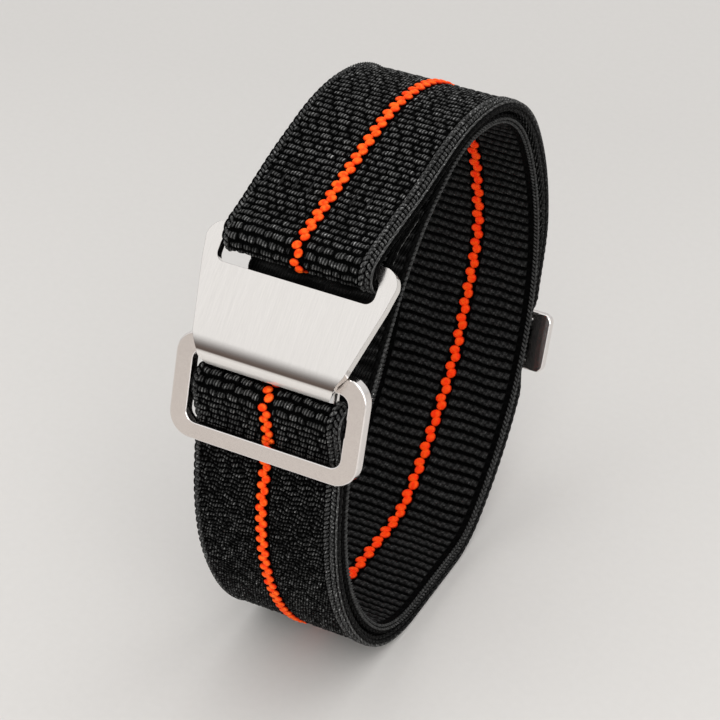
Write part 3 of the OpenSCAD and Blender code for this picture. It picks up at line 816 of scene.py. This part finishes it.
def steel_material(name, turn, dark, light, rough, across=3000, along=3000, scratches=0.03, painted_reflection_colour=None):
    """Steel brushed in the loop's plane at an angle; across and along are the lines' fineness per metre.

    A bend colour, a painted dark reflection, darkens it where the mesh's bend attribute says so, and its
    lip_satin dulls it.
    """
    made, tree, shader = new_material(name)
    turned = node(tree, "ShaderNodeMapping", [(0, in_object(tree))], [("Rotation", (radians(turn), 0, 0))],
                  vector_type="TEXTURE")
    lines = node(tree, "ShaderNodeMapping", [(0, turned.outputs[0])], [("Scale", (across, along, across))])
    brush = placed_group(tree, brushed_lines, lines.outputs[0])
    colour = tinted(tree, graded(tree, brush.outputs["Tone"], 0.3, 0.7), dark, light)
    shader.inputs["Metallic"].default_value = 1.0
    if painted_reflection_colour:
        colour = tinted(tree, attribute(tree, "bend_painted_reflection"), colour, painted_reflection_colour)
        mirror = graded(tree, attribute(tree, "lip_satin"), at_low=1.0, at_high=0.35)
        tree.links.new(mirror, shader.inputs["Metallic"])
    finish(tree, shader, colour, graded(tree, brush.outputs["Tone"], 0.3, 0.7, rough + 0.06, rough - 0.06))
    roughen(tree, shader, brush.outputs["Height"], scratches, 0.00003)
    return made


def thread_material():
    made, tree, shader = new_material("dark_sewing_thread")
    twist = node(tree, "ShaderNodeTexWave", [("Vector", in_object(tree))], [("Scale", 1400)])
    finish(tree, shader, tinted(tree, twist.outputs[1], (0.001, 0.001, 0.001), (0.012, 0.012, 0.012)), 0.6, 0.12)
    return made


def melted_material():
    made, tree, shader = new_material("melted_webbing_end")
    lumps = noise(tree, in_object(tree), 1500, 3)
    finish(tree, shader, tinted(tree, lumps, (0.004, 0.004, 0.004), (0.03, 0.029, 0.028)), 0.35)
    roughen(tree, shader, lumps, 0.6, 0.0001)
    return made


# The colour of the painted shade in the webbing's gaps.
PAINTED_GAP_SHADE = (0.0003, 0.0003, 0.0003)
BEAD_FOOT_SHADE = (0.42, 0.008, 0.001)
HOOK_BRUSH, RING_BRUSH, SLIDER_BRUSH = 45, 73, 74

outer_yarn = webbing_material("outer_webbing_yarn", (0.005, 0.005, 0.005), (0.22, 0.22, 0.216),
                              (0.16, 0.16, 0.157), (0.55, 0.55, 0.54), 1.0, 0.00025)
inner_yarn = webbing_material("inner_webbing_yarn", (0.011, 0.011, 0.011), (0.058, 0.058, 0.057),
                              (0.12, 0.12, 0.118), (0.12, 0.12, 0.12), 0.45, 0.00012)
orange_yarn = stripe_material("orange_stripe_yarn", (1.0, 0.045, 0.002), (1.0, 0.15, 0.012))
inner_orange_yarn = stripe_material("inner_orange_stripe_yarn", (1.0, 0.030, 0.001), (1.0, 0.085, 0.004))
sewing_thread = thread_material()
melted_end = melted_material()
# The last colour is the painted dark reflection on the hook's bend.
hook_steel = steel_material("brushed_hook_steel", HOOK_BRUSH, (0.73, 0.70, 0.67), (0.80, 0.77, 0.74), 0.20,
                            11000, 420, 0.06, (0.13, 0.10, 0.088))
hook_edge_steel = steel_material("polished_hook_edge", HOOK_BRUSH, (0.78, 0.76, 0.74), (0.84, 0.82, 0.80), 0.13)
# Painted shade: a darkened copy of the steel for the ring's pin and lugs, which sit in shade.
painted_shade_steel = steel_material("painted_shade_steel", HOOK_BRUSH, (0.16, 0.14, 0.13), (0.24, 0.22, 0.21), 0.25)
# Painted dark reflection for the hook's chamfer strip next to its face.
hook_painted_reflection_steel = steel_material("dark_hook_brow_painted_reflection", HOOK_BRUSH, (0.03, 0.026, 0.024), (0.06, 0.052, 0.048), 0.25)
ring_steel = steel_material("satin_ring_steel", RING_BRUSH, (0.665, 0.60, 0.56), (0.74, 0.675, 0.635), 0.22,
                            6000, 6000, 0.1)
ring_edge_steel = steel_material("polished_ring_edge", RING_BRUSH, (0.78, 0.74, 0.72), (0.84, 0.80, 0.78), 0.13)
slider_steel = steel_material("satin_slider_steel", SLIDER_BRUSH, (0.50, 0.47, 0.45), (0.66, 0.62, 0.60), 0.22,
                              6000, 6000, 0.05)
slider_edge_steel = steel_material("polished_slider_edge", SLIDER_BRUSH, (0.76, 0.72, 0.70), (0.84, 0.80, 0.78),
                                   0.15)


# ---------------------------------------------------------------- the strap, stretch by stretch
# Spacing of the columns on the face, the edges and the back
outer_section = cross_section(OUTER_LANES, 0.15, 0.095, 1.2)
fold_section = cross_section(OUTER_LANES, 0.16, 0.12, 0.22)
inner_section = cross_section(INNER_LANES, 0.25, 0.10, 1.4)
seed_section = cross_section(OUTER_LANES, 0.115, 0.095, 1.2)

stretches = [
    # name, from, to, CAD name, how it moves, weave (none for the inner layer's ribs), whether it is a fold
    ("hook_fold", "tab", "sewn", "hook_fold", "hook", FLOATS, True),
    ("outer_top", "sewn", "shoulder", "outer_band_top", "top", FLOATS, False),
    ("outer_shoulder", "shoulder", "back upper", "outer_band_shoulder", "band", FLOATS, False),
    ("outer_back_upper", "back upper", "slider", "outer_band_back_upper", "upper", FLOATS, False),
    ("slider_fold", "slider", "back lower", "slider_fold", "slider", FLOATS, True),
    ("outer_back_lower", "back lower", "bottom", "outer_band_back_lower", "lower", FLOATS, False),
    ("outer_bottom", "bottom", "front", "outer_band_bottom", "band", SEEDS, False),
    ("outer_front", "front", "ring", "outer_band_front", "band", SEEDS, False),
    ("ring_fold", "ring", "inner front", "ring_fold", "band", FLOATS, True),
    ("inner_front", "inner front", "inner bottom", "inner_band_front", "band", None, False),
    ("inner_bottom", "inner bottom", "inner back", "inner_band_bottom", "band", None, False),
    ("inner_back", "inner back", "inner top", "inner_band_back", "band", None, False),
    ("inner_top", "inner top", "inner tail", "inner_band_top", "band", None, False),
    ("inner_tail", "inner tail", "tip", "inner_band_tail", "band", None, False),
]


def point(mark):
    place, _ = route.at([route.marks[mark]])
    return (0.0, place[0, 0] * MM, place[0, 1] * MM)


def move_with(obj, how):
    """Lets a piece ride on its body; a stretch between two bodies stays where it lies."""
    if how == "top":
        point("shoulder")
        point("sewn")
        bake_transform(obj)
    elif how == "upper":
        point("back upper")
        point("slider")
        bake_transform(obj)
    elif how == "lower":
        point("bottom")
        point("back lower")
        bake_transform(obj)
    else:
        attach(obj, how)


bead = bead_shape()
for name, begin, end, cad, how, weave, fold in stretches:
    a, b = route.marks[begin], route.marks[end]
    if weave is SEEDS:
        step, section, yarn = 0.105, seed_section, outer_yarn
    elif weave:
        step, section, yarn = 0.13, fold_section if fold else outer_section, outer_yarn
    else:
        step, section, yarn = 0.125, inner_section, inner_yarn
    lanes = OUTER_LANES if weave else INNER_LANES
    band_piece = webbing(name + "_webbing", a, b, step, section, lanes, weave, fold, yarn)
    move_with(band_piece, how)
    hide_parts(cad)
    if weave:
        beads = stripe(name + "_stripe_beads", a, b, 0.81, 1.18, 1.2, 0.25, bead, orange_yarn)
    else:
        beads = stripe(name + "_stripe_beads", a, b, 1.18, 1.4, 1.45, 0.20, bead, inner_orange_yarn)
    move_with(beads, how)
    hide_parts(cad + "_stripe" if cad.endswith("fold") else cad.replace("_band_", "_stripe_"))
bpy.data.objects.remove(bead, do_unlink=True)


def sealed_tip():
    """The strap's end, melted flat: it thins and rounds over its last stretch."""
    begin, end = route.marks["tip"], route.marks["end"]
    t = np.linspace(0, 1, 9)
    round_off = np.sqrt(np.clip(1 - (0.96 * t) ** 2.5, 0, 1))[:, None]
    lumps = 0.05 * np.sin(inner_section[None, :, 0] * 5.1 + 3 * t[:, None])
    x = inner_section[None, :, 0] * (0.985 - 0.02 * t[:, None])
    y = inner_section[None, :, 1] * 0.88 * round_off + lumps * round_off
    obj = laid_grid("sealed_strap_tip", begin + (end - begin) * t, x, y)
    close_skin(obj, melted_end)
    return obj


tip = sealed_tip()
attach(tip, "band")
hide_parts("heat_sealed_tip")


def bar_tack():
    """Rows of short dark stitches through both layers of the hook's fold."""
    count, length, inset = 10, 2.4, 1.5
    pitch = (BAND_W - 2 * LAYER_T) / (count - 1)
    seam = fold_centre - (SEWN_LEN - length / 2 - inset) * direction(TOP_A + 90)
    stitches = []
    for side in (WRAP_R - 0.12, WRAP_R - LAYER_T - INSET + 0.12):
        for i in range(count):
            x = (i - (count - 1) / 2) * pitch
            if abs(x) < 1.2:
                continue
            nothing_selected()
            bpy.ops.mesh.primitive_uv_sphere_add(segments=10, ring_count=6, radius=0.5)
            stitch = fresh("stitch")
            bpy.ops.object.shade_smooth()
            origin = seam + side * direction(TOP_A)
            size = Matrix.Diagonal((0.28, length, 0.22, 1))
            stitch.data.transform(in_loop(origin, TOP_A - 90) @ Matrix.Translation((x, 0, 0)) @ size)
            stitches.append(stitch)
    obj = join("fold_stitches", stitches)
    obj.data.materials.append(sewing_thread)
    return obj


tack = bar_tack()
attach(tack, "hook")
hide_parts("bar_tack")


# ---------------------------------------------------------------- steel fittings
def rounded_block(name, w, h, t, r, steps):
    """A block about the origin in x and y, with its upright edges rounded."""
    nothing_selected()
    bpy.ops.mesh.primitive_cube_add(size=1)
    obj = fresh(name)
    obj.data.transform(Matrix.Diagonal((w, h, t, 1)))
    bpy.ops.object.mode_set(mode="EDIT")
    bpy.ops.mesh.select_all(action="DESELECT")
    bpy.ops.object.mode_set(mode="OBJECT")
    for e in obj.data.edges:
        a, b = (obj.data.vertices[i].co for i in e.vertices)
        e.select = abs(a.x - b.x) < 1e-6 and abs(a.y - b.y) < 1e-6
    bpy.ops.object.mode_set(mode="EDIT")
    bpy.ops.mesh.select_mode(type="EDGE")
    bpy.ops.mesh.bevel(offset=r, offset_type="OFFSET", segments=steps, profile=0.5, affect="EDGES")
    bpy.ops.object.mode_set(mode="OBJECT")
    return obj


def cut_with(obj, cutter):
    apply(obj, "BOOLEAN", operation="DIFFERENCE", object=cutter, solver="EXACT")
    bpy.data.objects.remove(cutter, do_unlink=True)


def polish_edges(obj, face_material, edge_material, painted_reflection_material=None):
    """Leaves the broad faces, which look along the fitting's z, satin, and polishes walls and chamfers.

    A material with a painted dark reflection goes on the chamfers' strip next to the face.
    """
    normal = np.empty(len(obj.data.polygons) * 3)
    obj.data.polygons.foreach_get("normal", normal)
    level = np.abs(normal.reshape(-1, 3)[:, 2])
    index = (level < 0.97).astype(np.int32)
    obj.data.materials.append(face_material)
    obj.data.materials.append(edge_material)
    if painted_reflection_material:
        obj.data.materials.append(painted_reflection_material)
        index[(level > 0.80) & (level < 0.97)] = 2
    obj.data.polygons.foreach_set("material_index", index)
    obj.data.update()


def soften(obj, width):
    """Gives the sharp edges a chamfer of two narrow strips."""
    apply(obj, "BEVEL", width=width, segments=2, limit_method="ANGLE", angle_limit=radians(35),
          harden_normals=False)
    only(obj)
    bpy.ops.object.shade_smooth_by_angle(angle=radians(20))


def round_bar(d, length, place, vertices, chamfer, material):
    """A round bar that lies across the strap."""
    nothing_selected()
    bpy.ops.mesh.primitive_cylinder_add(vertices=vertices, radius=d / 2, depth=length)
    bar = fresh("round_bar")
    soften(bar, chamfer)
    bar.data.materials.append(material)
    bar.data.transform(Matrix.Translation(place) @ Matrix.Rotation(pi / 2, 4, "Y"))
    return bar


def hook_half_width(h):
    """Half of the hook's width at height h on the plate, or round the bend for h below 0."""
    low = HOOK_RI + HOOK_T
    corner_h = HOOK_LEN - HOOK_CORNER
    if h >= corner_h:
        return HOOK_W / 2 - HOOK_CORNER + sqrt(max(HOOK_CORNER ** 2 - (h - corner_h) ** 2, 0))
    if h >= 0:
        return float(np.interp(h, [0, corner_h - HOOK_SHOULDER, corner_h],
                               [HOOK_LOW_W / 2, HOOK_W / 2 - 0.45, HOOK_W / 2]))
    if h > LIP_R - low:
        return float(np.interp(h, [LIP_R - low, 0], [LIP_W / 2, HOOK_LOW_W / 2]))
    return LIP_W / 2 - LIP_R + sqrt(max(LIP_R ** 2 - (h - (LIP_R - low)) ** 2, 0))


def hook_plate():
    """The plate is shaped flat, slotted, then bent round its lip."""
    mid_r = HOOK_RI + HOOK_T / 2
    bend = pi * mid_r
    corner_h = HOOK_LEN - HOOK_CORNER
    top = [corner_h + HOOK_CORNER * sin(a) for a in np.linspace(pi / 2, 0, 12)]
    plate = top + [corner_h - HOOK_SHOULDER, 4.0, 0.0]
    turn = [-bend * f for f in np.linspace(0, 1, 46)[1:]]
    leg = [-bend - HOOK_LEG]
    v = np.array(plate + turn + leg)[::-1]
    height = np.where(v >= 0, v, np.where(v > -bend, -mid_r * np.sin(np.clip(-v / mid_r, 0, pi)), 0))
    scaled = np.where((v < 0) & (v > -bend), height * (HOOK_RI + HOOK_T) / mid_r, height)
    half = np.array([hook_half_width(float(h)) for h in scaled])
    half[v <= -bend / 2] = np.minimum(half[v <= -bend / 2], LIP_W / 2)
    half = half - LEG_TAPER * smooth(0.58 * bend, bend, -v)
    nothing_selected()
    bpy.ops.mesh.primitive_grid_add(x_subdivisions=6, y_subdivisions=len(v) - 1, size=2)
    obj = fresh("bent_hook_plate")
    across = np.linspace(-1, 1, 7)
    co = np.zeros((len(v), 7, 3))
    co[:, :, 0] = half[:, None] * across[None, :]
    co[:, :, 1] = v[:, None]
    set_coordinates(obj, co.reshape(-1, 3))
    apply(obj, "SOLIDIFY", thickness=HOOK_T, offset=0)
    cutter = rounded_block("slot_cutter", 2 * SLOT_HALF_W, SLOT_H, 4 * HOOK_T, SLOT_R, 6)
    cutter.data.transform(Matrix.Translation((0, HOOK_LEN - 1.5 - SLOT_H / 2, 0)))
    cut_with(obj, cutter)
    soften(obj, 0.2)
    polish_edges(obj, hook_steel, hook_edge_steel, hook_painted_reflection_steel)
    co = coordinates(obj)
    y, z = co[:, 1].copy(), co[:, 2].copy()
    a = np.clip(-y / mid_r, 0, pi)
    past = np.maximum(-y - bend, 0)
    r = mid_r + z
    co[:, 1] = np.where(y >= 0, y, np.where(past > 0, past, -r * np.sin(a)))
    co[:, 2] = np.where(y >= 0, r, np.where(past > 0, -r, r * np.cos(a)))
    set_coordinates(obj, co)
    turned = np.degrees(a)
    # Painted dark reflection on the bend, just above the lip.
    set_attribute(obj, "bend_painted_reflection", smooth(0, 34, turned) * smooth(41, 36, turned))
    set_attribute(obj, "lip_satin", smooth(36, 46, turned))
    obj.data.transform(in_loop(hook_centre, HOOK_TILT))
    return obj


def ring_frame():
    """The flat frame with its window, and the middle bar that the strap folds over."""
    obj = rounded_block("clasp_ring", RING_W, RING_H, RING_T, 3.0, 10)
    obj.data.transform(Matrix.Translation((0, RING_H / 2 - RING_DROP, 0)))
    window = WINDOW_HI - WINDOW_LO
    cutter = rounded_block("window_cutter", BAND_W + 0.6, window, 4 * RING_T, 1.3, 8)
    cutter.data.transform(Matrix.Translation((0, (WINDOW_LO + WINDOW_HI) / 2, 0)))
    cut_with(obj, cutter)
    soften(obj, 0.16)
    polish_edges(obj, ring_steel, ring_edge_steel)
    obj.data.transform(Matrix.Translation((0, 0, RING_CLEAR + RING_T / 2)))
    bars = [obj]
    # The pin and its lugs take the steel with painted shade.
    for d, length, x in ((PIN_D, PIN_LEN, 0), (LUG_D, LUG_LEN, (LUG_LEN - PIN_LEN) / 2),
                         (LUG_D, LUG_LEN, (PIN_LEN - LUG_LEN) / 2)):
        bars.append(round_bar(d, length, (x, PIN_S, 0), 28, 0.15, painted_shade_steel))
    obj = join("clasp_ring", bars)
    obj.data.transform(in_loop(front_end, RING_LEAN))
    return obj


def slider_frame():
    """Two end plates joined by three round bars."""
    parts = []
    for x in (-1, 1):
        plate = rounded_block("slider_plate", PLATE_W, SLIDER_H - 0.4, SLIDER_BAR_D, SLIDER_END / 2, 8)
        soften(plate, 0.2)
        polish_edges(plate, slider_steel, slider_edge_steel)
        plate.data.transform(Matrix.Translation((x * (SLIDER_W / 2 - 0.2 - PLATE_W / 2), 0, 0)))
        parts.append(plate)
    for y in (-SLIDER_PITCH, 0, SLIDER_PITCH):
        parts.append(round_bar(SLIDER_BAR_D, SLIDER_W - SLIDER_END, (0, y * 0.98, 0), 24, 0.1, slider_steel))
    obj = join("strap_slider", parts)
    obj.data.transform(in_loop(local(back_mid, SLIDE_A, SLIDER_X, 0), SLIDE_A + 90))
    return obj


for fitting, body, cad, slot in ((hook_plate(), "hook", "hook_plate", "hook_steel"),
                                 (ring_frame(), "ring", "ring_frame", "ring_steel"),
                                 (slider_frame(), "slider", "slider_frame", "slider_steel")):
    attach(fitting, body)
    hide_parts(cad)


# ---------------------------------------------------------------- floor, light and camera
def pale_floor():
    """Pale paper, with painted light that makes it slightly lighter toward the front left."""
    nothing_selected()
    bpy.ops.mesh.primitive_plane_add(size=3)
    floor = fresh("pale_floor")
    made, tree, shader = new_material("pale_floor_paper")
    place = in_object(tree)
    colour = tinted(tree, noise(tree, place, 900), (0.565, 0.548, 0.528), (0.590, 0.573, 0.553))
    # Painted light: the colour is scaled from lighter at the front left to darker at the back.
    far = node(tree, "ShaderNodeVectorMath", [(0, place)], [(1, (-0.204, 1.024, 0))], operation="DOT_PRODUCT")
    painted_light_fade = graded(tree, far.outputs["Value"], -0.03, 0.13, 1.07, 0.93)
    painted_light_colour = node(tree, "ShaderNodeVectorMath", [(0, colour), ("Scale", painted_light_fade)], operation="SCALE")
    finish(tree, shader, painted_light_colour.outputs[0], 0.7)
    floor.data.materials.append(made)


def lamp(name, place, target, size, watts, colour=(1, 1, 1)):
    data = bpy.data.lights.new(name, "AREA")
    data.shape = "RECTANGLE"
    data.size, data.size_y = size
    data.energy = watts
    data.color = colour
    obj = bpy.data.objects.new(name, data)
    bpy.context.collection.objects.link(obj)
    obj.location = place
    obj.rotation_euler = (Vector(target) - Vector(place)).to_track_quat("-Z", "Y").to_euler()


def studio_world():
    """A pale room, lighter overhead."""
    world = bpy.data.worlds.new("studio")
    bpy.context.scene.world = world
    world.use_nodes = True
    tree = world.node_tree
    place = node(tree, "ShaderNodeTexCoord")
    split = node(tree, "ShaderNodeSeparateXYZ", [(0, place.outputs["Generated"])])
    sky = graded(tree, split.outputs["Z"], -0.1, 0.75, 0.62, 1.08)
    tree.links.new(sky, tree.nodes["Background"].inputs[0])
    tree.nodes["Background"].inputs[1].default_value = 0.97


FOCAL_PIXELS, PICTURE_PIXELS, DISTANCE = 2405, 720, 0.3


def photo_camera():
    """The place and lens that the photograph was taken with."""
    az, el = radians(28), radians(36)
    back = Vector((sin(az) * cos(el), -cos(az) * cos(el), sin(el)))
    target = Vector((0, -2.75, 36.45)) * MM
    data = bpy.data.cameras.new("photo_camera")
    data.sensor_width = 36
    data.lens = FOCAL_PIXELS * data.sensor_width / PICTURE_PIXELS
    data.clip_start = 0.01
    camera = bpy.data.objects.new("photo_camera", data)
    bpy.context.collection.objects.link(camera)
    camera.location = target + back * DISTANCE
    camera.rotation_euler = back.to_track_quat("Z", "Y").to_euler()
    bpy.context.scene.camera = camera


pale_floor()
studio_world()
lamp("key_light", (0.42, -0.50, 0.75), (0, 0, 0.03), (0.6, 0.6), 2.2, (1.0, 0.985, 0.965))
lamp("back_light", (0.14, 0.25, 0.85), (0, 0, 0.03), (0.8, 0.8), 1.2)
lamp("front_fill", (0.25, -0.80, 0.35), (0, 0, 0.04), (0.5, 0.5), 1.2)
photo_camera()
bpy.context.scene.view_settings.view_transform = "Standard"
